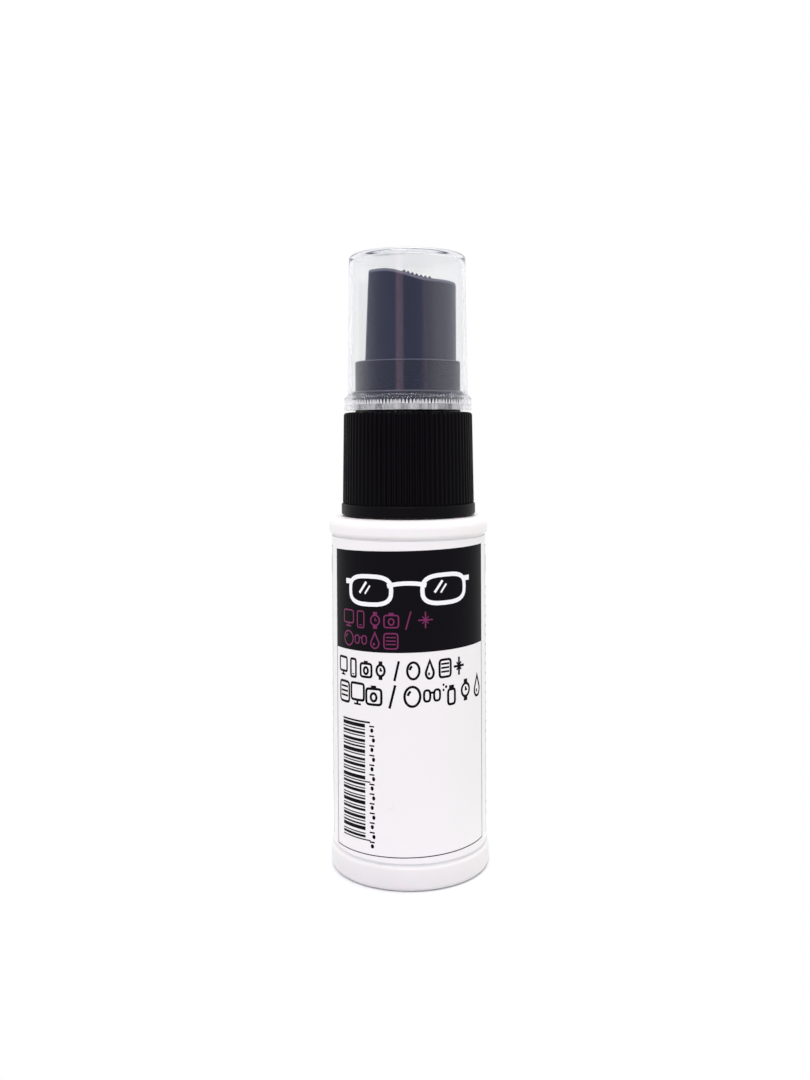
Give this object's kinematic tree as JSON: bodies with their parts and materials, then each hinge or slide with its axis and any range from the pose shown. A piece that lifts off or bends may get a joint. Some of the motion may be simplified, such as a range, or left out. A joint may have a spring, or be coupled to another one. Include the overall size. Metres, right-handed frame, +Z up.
{
  "type": "lens cleaning spray",
  "caption": "Small white pump spray bottle with a wrap label, black ribbed screw closure, slanted finger button, internal mist pump with dip tube, and a clear pull-off overcap.",
  "frame": {"origin": "centre of the bottle's base, on the surface it stands on", "axes": "+Z up along the bottle's axis, the label's printed face looks along -Y, and the spray leaves the actuator along -X"},
  "size_m": [0.028, 0.028, 0.1075],
  "materials": {
    "white_hdpe": "satin blown polyethylene",
    "label_film": "white film, semi-gloss",
    "black_closure": "moulded polypropylene, satin",
    "seal_foam": "foamed polyethylene",
    "natural_pump": "natural polypropylene",
    "piston_plastic": "soft polyethylene",
    "spring_steel": "drawn stainless wire",
    "ball_steel": "ground stainless ball",
    "tube_plastic": "natural polyethylene, translucent",
    "black_actuator": "moulded polypropylene, satin",
    "black_insert": "moulded acetal",
    "clear_cap": "clear polished styrene-like plastic"
  },
  "bodies": {
    "bottle_body": {"bottle": "white_hdpe", "label": "label_film"},
    "pump": {"pump_housing": "natural_pump", "stem_guide": "natural_pump", "neck_gasket": "seal_foam", "dip_tube": "tube_plastic", "return_spring": "spring_steel"},
    "closure": {"screw_closure": "black_closure"},
    "overcap_body": {"overcap": "clear_cap"},
    "plunger": {"stem": "natural_pump", "valve_rod": "natural_pump"},
    "piston_body": {"piston": "piston_plastic"},
    "button": {"actuator": "black_actuator", "nozzle_insert": "black_insert"},
    "ball": {"inlet_ball": "ball_steel"}
  },
  "joints": [
    {"name": "pump_lift", "type": "slide", "parent": "bottle_body", "child": "pump", "axis": [0, 0, 1], "range_m": [0, 0.00476]},
    {"name": "closure_turn", "type": "hinge", "parent": "pump", "child": "closure", "pos_m": [0, 0, 0.07], "axis": [0, 0, 1], "range_deg": [0, 540]},
    {"name": "overcap_pull", "type": "slide", "parent": "closure", "child": "overcap_body", "axis": [0, 0, 1], "range_m": [0, 0.03]},
    {"name": "plunger_press", "type": "slide", "parent": "pump", "child": "plunger", "axis": [0, 0, -1], "range_m": [0, 0.0045], "stiffness_N_per_m": 1370, "deforming": ["return_spring"]},
    {"name": "button_swivel", "type": "hinge", "parent": "plunger", "child": "button", "pos_m": [0, 0, 0.09], "axis": [0, 0, 1], "continuous": true},
    {"name": "piston_float", "type": "slide", "parent": "plunger", "child": "piston_body", "axis": [0, 0, 1], "range_m": [0, 0.0006]},
    {"name": "ball_lift", "type": "slide", "parent": "pump", "child": "ball", "axis": [0, 0, 1], "range_m": [0, 0.0008]}
  ],
  "couplings": [
    {"joint": "closure_turn", "follows": "pump_lift", "rad_per_m": 1979}
  ]
}
